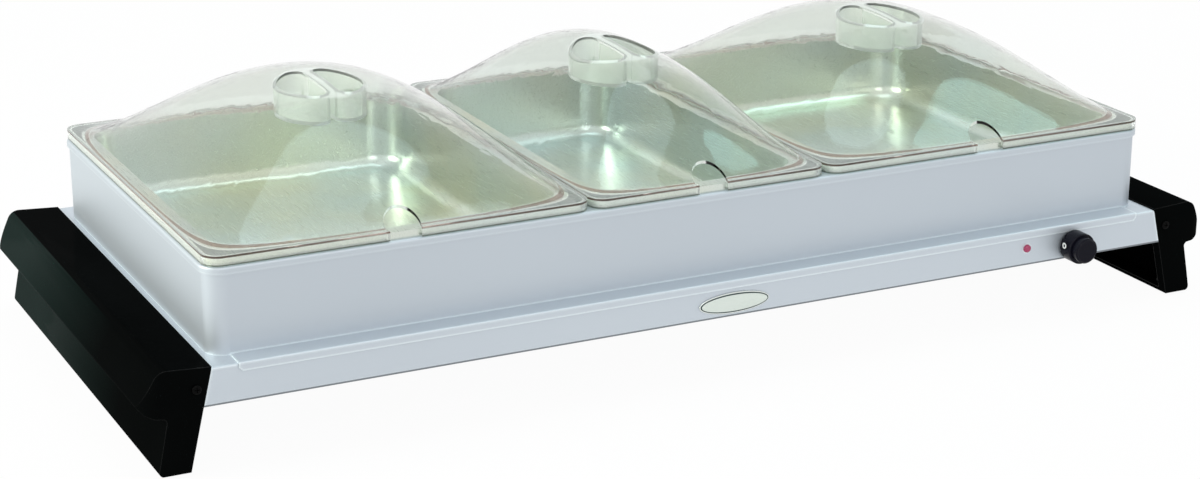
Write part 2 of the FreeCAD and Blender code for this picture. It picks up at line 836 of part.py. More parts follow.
def make_sheet_part(label, length, depth, top, thickness, x=0):
    """A flat sheet that hangs under the housing's top."""
    body = new_body(label)
    outline = new_sketch(body, "XY_Plane", top)
    rectangle(outline, x, 0, length, depth)
    pad(body, outline, thickness, flip=True)
    place(body)


def make_heater():
    make_sheet_part("heat_spreader", D.spreader_length, D.spreader_depth, HEATER_TOP,
                    D.spreader_sheet)
    for name, lid_width, x in WELLS:
        length = lid_width - D.element_gap * 2
        depth = D.spreader_depth - D.element_gap * 2
        label = f"{name}_element"
        make_sheet_part(label, length, depth, ELEMENT_TOP, D.element_sheet, x)
    make_sheet_part("insulation_blanket", D.spreader_length, D.spreader_depth, BLANKET_TOP,
                    D.blanket_sheet)


def make_cutout():
    """The safety cut-out clipped to the spreader in front of the blanket."""
    body = new_body("thermal_cutout")
    profile = new_sketch(body, "XY_Plane", HEATER_TOP)
    y = -(D.spreader_depth / 2 + D.cutout_diameter / 2 + 2)
    circle(profile, D.lamp_offset / 2, y, D.cutout_diameter)
    pad(body, profile, D.cutout_height, flip=True)
    place(body)


# ---------------------------------------------------------------------------
# Control knob, thermostat and lamp

def disc(body, offset, diameter, length):
    """A disc across the panel; offset is how far in front of the body's origin it starts."""
    face = new_sketch(body, "XZ_Plane", offset)
    circle(face, 0, 0, diameter)
    return pad(body, face, length)


def make_knob():
    """A skirted knob with a smaller stepped cap, bored for the shaft."""
    body = new_body("control_knob")
    disc(body, KNOB_GAP, D.knob_diameter, D.knob_depth)
    disc(body, KNOB_GAP + D.knob_depth, D.cap_diameter, D.cap_depth)
    front = -(KNOB_GAP + D.knob_depth + D.cap_depth)
    chamfer(body, lambda e: flat_at_y(e, front), D.cap_depth / 5)
    step = -(KNOB_GAP + D.knob_depth)
    rounded = (D.knob_diameter - D.cap_diameter) / 4
    fillet(body, lambda e: flat_at_y(e, step) and e.Length > 3.2 * D.cap_diameter.value, rounded)
    bore = new_sketch(body, "XZ_Plane", KNOB_GAP)
    circle(bore, 0, 0, D.shaft_diameter)
    pocket(body, bore, D.knob_depth, flip=True)
    place(body, D.knob_offset, PANEL_FRONT, KNOB_HEIGHT)


def flat_at_y(edge, y):
    """Whether an edge lies all round at one depth."""
    y = as_dim(y).value
    return abs(edge.BoundBox.YMin - y) < 0.01 and abs(edge.BoundBox.YMax - y) < 0.01


def make_shaft():
    """The control's spindle, from inside the thermostat to the bottom of the knob's bore."""
    body = new_body("control_shaft")
    behind = D.base_sheet + D.switch_depth / 2
    disc(body, -behind, D.shaft_diameter, behind + KNOB_GAP + D.knob_depth)
    place(body, D.knob_offset, PANEL_FRONT, KNOB_HEIGHT)


def make_thermostat():
    """A round switch behind the panel with a bush through it, bored for the spindle."""
    body = new_body("thermostat")
    disc(body, -D.base_sheet - D.switch_depth, D.switch_diameter, D.switch_depth)
    disc(body, -D.base_sheet, D.bush_diameter, D.base_sheet)
    bore = new_sketch(body, "XZ_Plane", 0)
    circle(bore, 0, 0, D.shaft_diameter + D.shaft_slack * 2)
    pocket(body, bore, D.base_sheet + D.switch_depth / 2)
    place(body, D.knob_offset, PANEL_FRONT, KNOB_HEIGHT)


def make_lamp():
    """A domed lens through the panel and the lamp's body behind it."""
    lens = new_body("pilot_lens")
    disc(lens, -D.base_sheet, D.lamp_diameter, D.base_sheet + D.lamp_out)
    fillet(lens, lambda e: flat_at_y(e, -D.lamp_out), D.lamp_out * 0.8)
    place(lens, D.lamp_offset, PANEL_FRONT, PANEL_MIDDLE)
    holder = new_body("pilot_lamp")
    disc(holder, -D.base_sheet - D.lamp_length, D.lamp_body, D.lamp_length)
    place(holder, D.lamp_offset, PANEL_FRONT, PANEL_MIDDLE)


# ---------------------------------------------------------------------------
# Supply

def make_gland():
    """A bush through the rear wall, with a collar outside and a nut-like shoulder inside."""
    body = new_body("cord_gland")
    disc(body, 0, D.gland_diameter, D.base_sheet)
    disc(body, -D.gland_out, D.gland_collar, D.gland_out)
    disc(body, D.base_sheet, D.gland_collar, D.base_sheet * 3)
    bore = new_sketch(body, "XZ_Plane", -D.gland_out)
    circle(bore, 0, 0, D.gland_bore)
    pocket(body, bore, D.gland_out + D.base_sheet * 4, flip=True)
    place(body, D.gland_offset, D.base_depth / 2, PANEL_MIDDLE)


def make_terminal_block():
    """Two-way block on the cover's inner face, beside the gland."""
    body = new_body("terminal_block")
    plan = new_sketch(body, "XY_Plane", BASE_BOTTOM)
    y = D.base_depth / 2 - D.base_hem - D.block_depth / 2 - 2
    x = D.gland_offset - D.gland_collar / 2 - D.block_length
    rectangle(plan, x, y, D.block_length, D.block_depth)
    pad(body, plan, D.block_height)
    place(body)


# ---------------------------------------------------------------------------
# Build and export

def build():
    make_base_housing()
    make_bottom_cover()
    make_heater()
    make_cutout()
    for name, side in (("left", -1), ("right", 1)):
        make_handle(f"{name}_handle", side)
        make_divider(f"{name}_divider", side)
        for where, end in (("front", -1), ("back", 1)):
            make_rubber_foot(f"{name}_{where}_foot", side, end)
            make_bracket(f"{name}_{where}_bracket", side, end)
    make_frame()
    for name, lid_width, x in WELLS:
        make_pan(f"{name}_pan", lid_width, x)
        make_lid(f"{name}_lid", lid_width, x)
    make_knob()
    make_shaft()
    make_thermostat()
    make_lamp()
    make_gland()
    make_terminal_block()
    DOC.recompute()


def check_document():
    """Stops the build if any object failed or a sketch isn't fully held."""
    for thing in DOC.Objects:
        if {"Invalid", "Error"} & set(thing.State):
            raise RuntimeError(f"{thing.Name} ({thing.Label}) failed: {thing.State}")
        if thing.TypeId == "Sketcher::SketchObject" and not thing.FullyConstrained:
            raise RuntimeError(f"{thing.Name} isn't fully constrained")


def export_parts():
    """Writes each sub-part's solid to its own file."""
    os.makedirs("parts", exist_ok=True)
    kinds = ("PartDesign::Body", "Part::Feature")
    for piece in [thing for thing in DOC.Objects if thing.TypeId in kinds]:
        if piece.getParentGeoFeatureGroup():
            continue
        shape = piece.Shape
        if shape.isNull() or not shape.isValid():
            raise RuntimeError(f"{piece.Label} has no valid shape")
        shape.exportStep(f"parts/{piece.Label}.step")
        print(f"{piece.Label}: {len(shape.Solids)} solid, {shape.Volume / 1000:.2f} cm3")


build()
check_document()
export_parts()
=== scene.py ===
"""Electric food warmer: steel housing and frame, pans under clear lids, moulded end handles."""

import math

import bpy
from bpy.props import FloatProperty, FloatVectorProperty, PointerProperty
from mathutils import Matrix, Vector


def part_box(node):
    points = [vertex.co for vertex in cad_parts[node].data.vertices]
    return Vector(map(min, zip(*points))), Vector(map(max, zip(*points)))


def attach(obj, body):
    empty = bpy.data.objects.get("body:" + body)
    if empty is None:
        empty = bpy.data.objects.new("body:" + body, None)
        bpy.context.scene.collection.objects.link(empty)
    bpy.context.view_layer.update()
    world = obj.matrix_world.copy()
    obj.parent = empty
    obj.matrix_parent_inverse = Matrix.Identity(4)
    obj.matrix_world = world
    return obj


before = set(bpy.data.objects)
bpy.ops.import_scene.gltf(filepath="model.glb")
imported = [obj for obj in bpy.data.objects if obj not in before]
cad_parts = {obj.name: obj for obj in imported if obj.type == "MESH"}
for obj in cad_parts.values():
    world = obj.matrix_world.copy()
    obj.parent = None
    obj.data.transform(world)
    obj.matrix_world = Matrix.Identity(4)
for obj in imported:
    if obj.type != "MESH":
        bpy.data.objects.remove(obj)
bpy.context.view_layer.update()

bl_info = {
    "name": "Food warmer",
    "version": (1, 0, 0),
    "blender": (4, 5, 0),
    "location": "View3D > Sidebar > Warmer",
    "description": "Builds an electric food warmer around its packed frame",
    "category": "Object",
}

WELLS = ("left", "middle", "right")
SIDES = ("left", "right")
ENDS = ("front", "back")

# The finger pockets of a lid: half their width and length over the walls, and how far they sit
# in front of the lid's middle
POCKET_HALF_WIDTH = 0.0319
POCKET_HALF_LENGTH = 0.0374
POCKET_FORWARD = 0.0135
# Heights over a lid's lowest point: its ledge on top of the skirt, and the painted shadow line
# along its foot
LID_LEDGE = 0.0068
LID_FOOT_SHADOW = 0.0006
# How far below the ledge the painted brown reflection line at the crease starts and ends
CREASE_TOP = 0.0003
CREASE_BOTTOM = 0.0014

# How far the painted shade on the housing's hem reaches up, and the frame's rim down, where the
# painted edge highlight is weaker
HEM_SHADE_HEIGHT = 0.0012
RIM_HEIGHT = 0.006
# How far from an edge the steel has its painted highlight, and the black plastic is glossy, and
# how steeply that rises towards the edge
STEEL_EDGE_HIGHLIGHT = 0.0023
PLASTIC_RUB = 0.0008
EDGE_RISE = 5
# How fast the painted lighter reflection at the frame's foot fades upwards, per metre
FOOT_LIGHT_FADE = 60
# The sheen of the handles' outer flanks, a glossier coat with a green reflection painted into its
# colour:
# the painted colour, how much of it there is in the middle of their length, and how fast it grows
# towards the back, per metre
PAINTED_SHEEN_COLOUR = (0.001, 0.009, 0.007)
SHEEN_MIDDLE = 0.4
SHEEN_RISE = 5

# The layers of the badge: how much smaller than the plate, and from where to where over the panel
PLATE_LAYER = (0.0, -0.0001, 0.0011)
RING_LAYER = (0.0009, 0.0009, 0.0014)
FACE_LAYER = (0.0018, 0.0012, 0.0017)
BADGE_DROP = 0.0155

# Where the knob's ring sits: outside the knob's side, in front of its back, and over its axis;
# its width as a share of its diameter, and its thickness
MARKER_OUT = 0.001
MARKER_FORWARD = 0.0062
MARKER_UP = 0.0030
MARKER_WIDTH = 0.24
MARKER_WALL = 0.0003

# Where the screws sit: in from the handle's inner side, down from the housing's top, and in from
# the cover's ends and edges
HANDLE_SCREW_IN = 0.0107
HANDLE_SCREW_DOWN = 0.0125
COVER_SCREW_IN = 0.012
COVER_SCREW_EDGE = 0.005

# Name, shape, place, size, power in watts and colour of each lamp, all aimed at one point
LAMPS = (
    ("front softbox", "SQUARE", (-0.4, -2.4, 1.6), 1.2, 10, (1, 1, 1)),
    ("left softbox", "SQUARE", (-2.4, 0.2, 0.9), 1.1, 36, (0.97, 1, 0.88)),
    ("side lamp", "DISK", (1.4, -0.2, 1.75), 0.8, 3.5, (0.6, 1, 1)),
    ("round lamp", "DISK", (0.2, 0.45, 2.3), 1.6, 9, (0.72, 0.9, 1)),
)
LAMP_TARGET = (0, 0, 0.1)
# How much of the floor's colour is its own even white when it is looked at
FLOOR_GLOW = 0.96


# ---------------------------------------------------------------------------
# Settings that a user would change

def colour(name, text, value):
    return FloatVectorProperty(name=name, description=text, subtype="COLOR", size=3,
                               min=0.0, max=1.0, default=value)


def length(name, text, value):
    return FloatProperty(name=name, description=text, default=value, min=0.0, unit="LENGTH",
                         subtype="DISTANCE")


class WarmerMetal(bpy.types.PropertyGroup):
    sheet_colour: colour("Sheet", "Colour of the satin sheet metal", (0.56, 0.61, 0.66))
    pan_colour: colour("Pan", "Colour of the drawn pans", (0.66, 0.71, 0.66))
    sheet_roughness: FloatProperty(name="Satin", description="Roughness of the sheet metal",
                                   default=0.5, min=0.0, max=1.0)


class WarmerPlastic(bpy.types.PropertyGroup):
    handle_colour: colour("Handle", "Colour of the end handles", (0.0015, 0.0018, 0.0018))
    lid_tint: colour("Lid", "Tint of the clear lids", (0.87, 0.90, 0.87))
    lens_colour: colour("Lens", "Colour of the pilot lamp's lens", (0.33, 0.012, 0.08))


class WarmerTrim(bpy.types.PropertyGroup):
    badge_length: length("Badge length", "Length of the oval plate on the panel", 0.055)
    badge_height: length("Badge height", "Height of the oval plate on the panel", 0.0152)
    badge_place: FloatProperty(name="Badge place", description="Where the plate sits along X",
                               default=0.0086, unit="LENGTH", subtype="DISTANCE")
    screw: length("Screw", "Diameter of a handle screw's head", 0.0066)
    marker: length("Marker", "Diameter of the ring on the knob's skirt", 0.0044)


class WarmerStage(bpy.types.PropertyGroup):
    lens: FloatProperty(name="Lens", description="Focal length on a 36 mm wide sensor",
                        default=78.01, min=1.0, unit="CAMERA")
    heading: FloatProperty(name="Heading", description="How far the view turns to the right",
                           default=math.radians(26.16), subtype="ANGLE", unit="ROTATION")
    dip: FloatProperty(name="Dip", description="How far the view looks down",
                       default=math.radians(18.48), subtype="ANGLE", unit="ROTATION")
    eye: FloatVectorProperty(name="Eye", description="Where the camera stands",
                             default=(-0.8175, -1.6502, 0.6639), subtype="TRANSLATION",
                             unit="LENGTH")
    daylight: FloatProperty(name="Daylight", description="Strength of the even white light",
                            default=0.62, min=0.0)


GROUPS = {
    "warmer_metal": WarmerMetal,
    "warmer_plastic": WarmerPlastic,
    "warmer_trim": WarmerTrim,
    "warmer_stage": WarmerStage,
}


# ---------------------------------------------------------------------------
# Shader building

class Value:
    """A number in a shader: arithmetic on it adds Math nodes."""

    def __init__(self, tree, socket):
        self.tree = tree
        self.socket = socket

    def math(self, operation, *others):
        node = self.tree.nodes.new("ShaderNodeMath")
        node.operation = operation
        for slot, item in zip(node.inputs, (self,) + others):
            plug(self.tree, slot, item)
        return Value(self.tree, node.outputs[0])

    def reflected(self, operation, other):
        """The same with the number as the second operand."""
        node = self.tree.nodes.new("ShaderNodeMath")
        node.operation = operation
        plug(self.tree, node.inputs[0], other)
        plug(self.tree, node.inputs[1], self)
        return Value(self.tree, node.outputs[0])

    def clamped(self):
        """The number kept between 0 and 1."""
        return self.math("MINIMUM", 1.0).math("MAXIMUM", 0.0)

    def __add__(self, other):
        return self.math("ADD", other)

    def __sub__(self, other):
        return self.math("SUBTRACT", other)

    def __mul__(self, other):
        return self.math("MULTIPLY", other)

    def __rsub__(self, other):
        return self.reflected("SUBTRACT", other)

    __radd__ = __add__
    __rmul__ = __mul__


def plug(tree, slot, item):
    """Links a socket or sets a plain value."""
    if isinstance(item, Value):
        tree.links.new(item.socket, slot)
    elif isinstance(item, bpy.types.NodeSocket):
        tree.links.new(item, slot)
    else:
        slot.default_value = item


class Finish:
    """A material under construction, with one Principled shader."""

    def __init__(self, name):
        self.material = bpy.data.materials.new(name)
        self.material.use_nodes = True
        self.tree = self.material.node_tree
        self.shader = self.tree.nodes["Principled BSDF"]
        self.output = self.tree.nodes["Material Output"]

    def node(self, kind, settings=None, **sockets):
        """Adds a node: its settings first, then its sockets by name."""
        node = self.tree.nodes.new(kind)
        for key, value in (settings or {}).items():
            setattr(node, key, value)
        for key, value in sockets.items():
            plug(self.tree, node.inputs[key.replace("_", " ")], value)
        return node

    def value(self, socket):
        return Value(self.tree, socket)

    def set(self, **sockets):
        """Sets or links the Principled shader's sockets by name."""
        for key, value in sockets.items():
            plug(self.tree, self.shader.inputs[key.replace("_", " ")], value)

    def parts(self, vector):
        """The three numbers of a vector."""
        split = self.node("ShaderNodeSeparateXYZ", Vector=vector)
        return [self.value(part) for part in split.outputs]

    def axes(self):
        """Object coordinates, a number for each axis."""
        return self.parts(self.node("ShaderNodeTexCoord").outputs["Object"])

    def place(self, scale):
        """Object coordinates, stretched along each axis."""
        coords = self.node("ShaderNodeTexCoord")
        mapping = self.node("ShaderNodeMapping", Vector=coords.outputs["Object"])
        mapping.inputs["Scale"].default_value = scale
        return mapping.outputs[0]

    def noise(self, scale, stretch=(1, 1, 1), detail=2.0):
        texture = self.node("ShaderNodeTexNoise", Vector=self.place(stretch))
        texture.inputs["Scale"].default_value = scale
        texture.inputs["Detail"].default_value = detail
        return self.value(texture.outputs["Fac"])

    def tones(self, mask, dark, light):
        """A colour that runs from dark to light with a mask."""
        mix = self.node("ShaderNodeMix", {"data_type": "RGBA"})
        plug(self.tree, mix.inputs["Factor"], mask)
        for slot, tone in ((mix.inputs[6], dark), (mix.inputs[7], light)):
            plug(self.tree, slot, (*tone, 1) if isinstance(tone, tuple) else tone)
        return mix.outputs[2]

    def bump(self, height, strength, distance):
        node = self.node("ShaderNodeBump", Height=height)
        node.inputs["Strength"].default_value = strength
        node.inputs["Distance"].default_value = distance
        self.set(Normal=node.outputs[0])


def edges(finish, radius):
    """Rises from 0 to 1 near an edge: for the steel's painted highlight lines and the black
    plastic's glossier edges.
    """
    round_off = finish.node("ShaderNodeBevel", {"samples": 4}, Radius=radius)
    flat = finish.node("ShaderNodeNewGeometry")
    across = finish.node("ShaderNodeVectorMath", {"operation": "DOT_PRODUCT"})
    finish.tree.links.new(round_off.outputs[0], across.inputs[0])
    finish.tree.links.new(flat.outputs["Normal"], across.inputs[1])
    return ((1 - finish.value(across.outputs["Value"])) * EDGE_RISE).clamped()


def seen_rays(tree, path):
    """Where a ray shows the background: straight, mirrored or through glass."""
    seen = Value(tree, path.outputs["Is Camera Ray"])
    for name in ("Is Glossy Ray", "Is Transmission Ray"):
        seen = seen.math("MAXIMUM", Value(tree, path.outputs[name]))
    return seen


def shade(rgb, factor):
    """A lighter or darker tone of a colour."""
    return tuple(min(1.0, part * factor) for part in rgb)


def sheet_steel(settings):
    """Satin stainless sheet with a fine grain along its length.

    It has painted highlights on its edges, a painted lighter reflection at the frame's foot and
    painted shade on the hem."""
    finish = Finish("satin_sheet_steel")
    grain = finish.noise(2200, (0.02, 1, 1))
    cloud = finish.noise(5, detail=1)
    base = tuple(settings.sheet_colour)
    sheet = finish.tones(cloud, shade(base, 0.97), shade(base, 1.03))
    up = finish.axes()[2]
    frame_low, frame_high = (corner[2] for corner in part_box("pan_frame"))
    rim = up.math("GREATER_THAN", frame_high - RIM_HEIGHT)
    # Painted highlight along the steel's edges, weaker on the frame's rim
    edge_highlight = edges(finish, STEEL_EDGE_HIGHLIGHT) * (1 - rim * 0.6)
    # Painted shade along the housing's bottom hem
    hem_shade = up.math("LESS_THAN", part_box("base_housing")[0][2] + HEM_SHADE_HEIGHT)
    # Painted lighter reflection at the frame's foot, fading upwards
    painted_foot_shading = (1 - (up - frame_low) * FOOT_LIGHT_FADE).clamped()
    foot_lightened = finish.tones(painted_foot_shading, sheet, shade(base, 1.08))
    edge_highlighted = finish.tones(edge_highlight, foot_lightened, shade(base, 1.6))
    finish.set(Base_Color=finish.tones(hem_shade, edge_highlighted, shade(base, 0.4)), Metallic=0.65,
               Roughness=settings.sheet_roughness + 0.06 * (grain - 0.5))
    finish.bump(grain, 0.02, 0.0001)
    return finish.material


def pan_steel(settings):
    """Drawn pan steel, a little brighter and smoother, from a warm to a cool tone."""
    finish = Finish("drawn_pan_steel")
    grain = finish.noise(1800, (1, 0.03, 1))
    cloud = finish.noise(9)
    base = tuple(settings.pan_colour)
    warm, cool = ((base[0] * red, base[1], base[2] * blue)
                  for red, blue in ((1.06, 0.88), (0.95, 1.06)))
    finish.set(Base_Color=finish.tones((cloud * 3 - 1).clamped(), warm, cool), Metallic=1.0,
               Roughness=0.28 + 0.05 * (grain - 0.5))
    return finish.material


def black_plastic(name, base, roughness, pebble, gloss=0.5, lacquer=0.0, sheen=0.0):
    """Moulded black plastic with a faint texture.

    Lacquer coats it, most on its edges. Sheen adds to the coat of the outer flanks, more and
    more towards the back, and paints a green reflection into their colour there."""
    finish = Finish(name)
    grain = finish.noise(pebble)
    haze = finish.noise(14)
    black = finish.tones(haze, base, shade(base, 1.8))
    if lacquer:
        coat = edges(finish, PLASTIC_RUB) * 0.5 + lacquer
        if sheen:
            facing = finish.parts(finish.node("ShaderNodeNewGeometry").outputs["Normal"])
            flank = facing[0].math("ABSOLUTE").math("GREATER_THAN", 0.5)
            gloss_and_painted_sheen = flank * (finish.axes()[1] * SHEEN_RISE + SHEEN_MIDDLE).clamped()
            coat = coat + gloss_and_painted_sheen * sheen
            # Paints a green reflection into the colour of the sheen patch
            black = finish.tones(gloss_and_painted_sheen, black, PAINTED_SHEEN_COLOUR)
        finish.set(Coat_Weight=coat, Coat_Roughness=0.15)
    finish.set(Base_Color=black, Roughness=roughness + 0.1 * (haze - 0.5),
               Specular_IOR_Level=gloss)
    finish.bump(grain, 0.05, 0.0001)
    return finish.material


def lid_masks(finish, well):
    """Where a lid is milky, where its painted crease reflection runs and where its painted foot
    shadow is.
    """
    low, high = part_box(f"{well}_lid")
    across, back, up = finish.axes()
    across = (across - (low[0] + high[0]) / 2) * (1 / POCKET_HALF_WIDTH)
    back = (back - (low[1] + high[1]) / 2 + POCKET_FORWARD) * (1 / POCKET_HALF_LENGTH)
    ledge = low[2] + LID_LEDGE
    pockets = (across * across + back * back).math("LESS_THAN", 1.0)
    skirt = up.math("LESS_THAN", ledge + 0.0001)
    # Painted reflection line under the ledge
    painted_crease_reflection = (up.math("LESS_THAN", ledge - CREASE_TOP)
              - up.math("LESS_THAN", ledge - CREASE_BOTTOM))
    # Painted shadow line along the foot
    painted_foot_shading = up.math("LESS_THAN", low[2] + LID_FOOT_SHADOW)
    return pockets.math("MAXIMUM", skirt), painted_crease_reflection, painted_foot_shading


def mixed(finish, mask, first, second):
    """A node that shows the first shader where the mask is 0, the second where it is 1."""
    mix = finish.node("ShaderNodeMixShader")
    for slot, item in zip(mix.inputs, (mask, first.outputs[0], second.outputs[0])):
        plug(finish.tree, slot, item)
    return mix


def clear_plastic(settings, well):
    """Clear moulded lid plastic, milkier in its skirt and round its finger pockets, with a
    painted brown reflection line under its ledge and a painted shadow line along its foot.

    It lets lamp light through to the pan."""
    finish = Finish(f"clear_{well}_lid_plastic")
    tint = (*settings.lid_tint, 1)
    finish.set(Base_Color=tint, Transmission_Weight=1.0, IOR=1.4,
               Roughness=0.006 * finish.noise(20, detail=1))
    milky, painted_crease_reflection, painted_foot_shading = lid_masks(finish, well)
    # Painted brown reflection line along the crease under the ledge
    crease_painted = finish.tones(painted_crease_reflection, (0.98, 1.0, 0.98), (0.36, 0.22, 0.18))
    # The milky part's colour carries the painted shadow line along the lid's foot
    milk = finish.node("ShaderNodeBsdfPrincipled", Roughness=0.02, IOR=1.4,
                       Base_Color=finish.tones(painted_foot_shading, crease_painted, (0.16, 0.19, 0.16)),
                       Transmission_Weight=0.78)
    seen = mixed(finish, milky, finish.shader, milk)
    path = finish.node("ShaderNodeLightPath")
    unseen = finish.value(path.outputs["Is Shadow Ray"]).math(
        "MAXIMUM", finish.value(path.outputs["Is Diffuse Ray"]))
    through = finish.node("ShaderNodeBsdfTransparent", Color=tint)
    final = mixed(finish, unseen, seen, through)
    finish.tree.links.new(final.outputs[0], finish.output.inputs[0])
    return finish.material


def plain(name, base, roughness, metallic=0.0, spread=1.15, scale=60):
    """A finish with a slight mottle, for small and inner pieces."""
    finish = Finish(name)
    mottle = finish.noise(scale, detail=3)
    finish.set(Base_Color=finish.tones(mottle, shade(base, 1 / spread), shade(base, spread)),
               Roughness=roughness + 0.12 * (mottle - 0.5), Metallic=metallic)
    return finish.material


def lens_plastic(settings):
    """Red lens plastic with a faint glow."""
    finish = Finish("red_lens_plastic")
    core = finish.noise(800, detail=1)
    base = tuple(settings.lens_colour)
    finish.set(Base_Color=finish.tones(core, base, shade(base, 1.3)), Roughness=0.15,
               Coat_Weight=0.6, Emission_Color=(*base, 1), Emission_Strength=0.08)
    return finish.material


# ---------------------------------------------------------------------------
# Mesh helpers

def clear_selection():
    if bpy.context.object and bpy.context.object.mode != "OBJECT":
        bpy.ops.object.mode_set(mode="OBJECT")
    bpy.ops.object.select_all(action="DESELECT")


def only(piece):
    clear_selection()
    piece.select_set(True)
    bpy.context.view_layer.objects.active = piece


def paint(piece, material):
    piece.data.materials.clear()
    piece.data.materials.append(material)


def coat_node(name, material):
    """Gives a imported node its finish."""
    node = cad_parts[name]
    if not node.material_slots:
        node.data.materials.append(material)
    for slot in node.material_slots:
        slot.material = material


def smooth_node(name, angle=30, bevel=0.0):
    """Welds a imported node's loose triangles for shading only, and softens its edges."""
    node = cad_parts[name]
    for face in node.data.polygons:
        face.use_smooth = True
    weld = node.modifiers.new("weld", "WELD")
    weld.merge_threshold = 1e-6
    if bevel:
        soft = node.modifiers.new("soft edges", "BEVEL")
        soft.width = bevel
        soft.segments = 2
        soft.limit_method = "ANGLE"
        soft.angle_limit = math.radians(angle)
        soft.harden_normals = True
    split = node.modifiers.new("sharp edges", "EDGE_SPLIT")
    split.split_angle = math.radians(angle)


def settle(piece, body, material):
    """Ends a piece: its place goes into its mesh, and it rides on its body."""
    only(piece)
    bpy.ops.object.transform_apply(location=True, rotation=True, scale=True)
    paint(piece, material)
    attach(piece, body)


def apply_modifiers(piece):
    only(piece)
    for modifier in list(piece.modifiers):
        bpy.ops.object.modifier_apply(modifier=modifier.name)


def cut(piece, tool):
    """Cuts a piece with a tool, which is used up."""
    modifier = piece.modifiers.new("cut", "BOOLEAN")
    modifier.operation = "DIFFERENCE"
    modifier.solver = "EXACT"
    modifier.object = tool
    only(piece)
    bpy.ops.object.modifier_apply(modifier=modifier.name)
    bpy.data.objects.remove(tool)


# ---------------------------------------------------------------------------
# Operators

class WARMER_OT_metal(bpy.types.Operator):
    """Finish the housing, the frame and the pans"""
    bl_idname = "warmer.metal"
    bl_label = "Metal"

    def execute(self, context):
        settings = context.scene.warmer_metal
        sheet = sheet_steel(settings)
        for name in ("base_housing", "bottom_cover", "pan_frame", "left_divider",
                     "right_divider"):
            coat_node(name, sheet)
            smooth_node(name)
        drawn = pan_steel(settings)
        for well in WELLS:
            coat_node(f"{well}_pan", drawn)
            smooth_node(f"{well}_pan")
        return {"FINISHED"}


class WARMER_OT_handles(bpy.types.Operator):
    """Finish the end handles and their feet"""
    bl_idname = "warmer.handles"
    bl_label = "End handles"

    def execute(self, context):
        settings = context.scene.warmer_plastic
        moulded = black_plastic("gloss_black_plastic", tuple(settings.handle_colour), 0.24, 1500,
                                gloss=0.0, lacquer=0.01, sheen=0.07)
        rubber = black_plastic("black_rubber", (0.02, 0.02, 0.02), 0.7, 900)
        zinc = plain("zinc_plate", (0.55, 0.56, 0.58), 0.35, metallic=1.0)
        for side in SIDES:
            coat_node(f"{side}_handle", moulded)
            smooth_node(f"{side}_handle", bevel=0.0008)
            for end in ENDS:
                coat_node(f"{side}_{end}_foot", rubber)
                smooth_node(f"{side}_{end}_foot")
                coat_node(f"{side}_{end}_bracket", zinc)
        coat_node("control_shaft", zinc)
        coat_node("thermal_cutout", zinc)
        return {"FINISHED"}


class WARMER_OT_control(bpy.types.Operator):
    """Finish the knob, the lamp and what is behind the panel"""
    bl_idname = "warmer.control"
    bl_label = "Control"

    def execute(self, context):
        settings = context.scene.warmer_plastic
        knob = black_plastic("satin_knob_plastic", (0.004, 0.004, 0.008), 0.24, 1200,
                             gloss=0.08, lacquer=0.03)
        coat_node("control_knob", knob)
        smooth_node("control_knob")
        coat_node("pilot_lens", lens_plastic(settings))
        smooth_node("pilot_lens")
        cream = plain("switch_plastic", (0.62, 0.58, 0.46), 0.5)
        for name in ("thermostat", "pilot_lamp", "terminal_block"):
            coat_node(name, cream)
        coat_node("cord_gland", black_plastic("gland_plastic", (0.02, 0.02, 0.02), 0.45, 1200))
        smooth_node("cord_gland")
        coat_node("heat_spreader",
                  plain("mill_aluminium", (0.75, 0.75, 0.76), 0.35, metallic=1.0))
        mica = plain("mica_board", (0.62, 0.52, 0.36), 0.5, spread=1.3, scale=90)
        for well in WELLS:
            coat_node(f"{well}_element", mica)
        coat_node("insulation_blanket", plain("fibre_blanket", (0.8, 0.76, 0.62), 0.95))
        return {"FINISHED"}


class WARMER_OT_badge(bpy.types.Operator):
    """Model the bare oval plate on the front panel"""
    bl_idname = "warmer.badge"
    bl_label = "Badge plate"

    def execute(self, context):
        settings = context.scene.warmer_trim
        low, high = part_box("base_housing")
        front, level = low[1], high[2] - BADGE_DROP
        half = (settings.badge_length / 2, settings.badge_height / 2)
        silver = plain("bright_badge_metal", (0.72, 0.76, 0.74), 0.22, metallic=1.0, spread=1.04)
        ink = plain("badge_ring_enamel", (0.02, 0.045, 0.045), 0.4, spread=1.2)
        pale = plain("pale_badge_enamel", (0.80, 0.86, 0.80), 0.3, spread=1.02)
        for name, (shrink, inner, outer), slot, material in (
                ("badge_plate", PLATE_LAYER, "steel", silver),
                ("badge_ring", RING_LAYER, "switch_plastic", ink),
                ("badge_face", FACE_LAYER, "switch_plastic", pale)):
            clear_selection()
            bpy.ops.mesh.primitive_cylinder_add(vertices=96, radius=1, depth=1)
            plate = bpy.context.object
            plate.name = name
            plate.rotation_euler = (math.pi / 2, 0, 0)
            plate.scale = (half[0] - shrink, half[1] - shrink, outer - inner)
            plate.location = (settings.badge_place, front - (inner + outer) / 2, level)
            only(plate)
            bpy.ops.object.transform_apply(location=True, rotation=True, scale=True)
            soft = plate.modifiers.new("soft edge", "BEVEL")
            soft.width = (outer - inner) * 0.4
            soft.segments = 3
            apply_modifiers(plate)
            bpy.ops.object.shade_smooth_by_angle(angle=math.radians(40))
            settle(plate, "base", material)
        return {"FINISHED"}


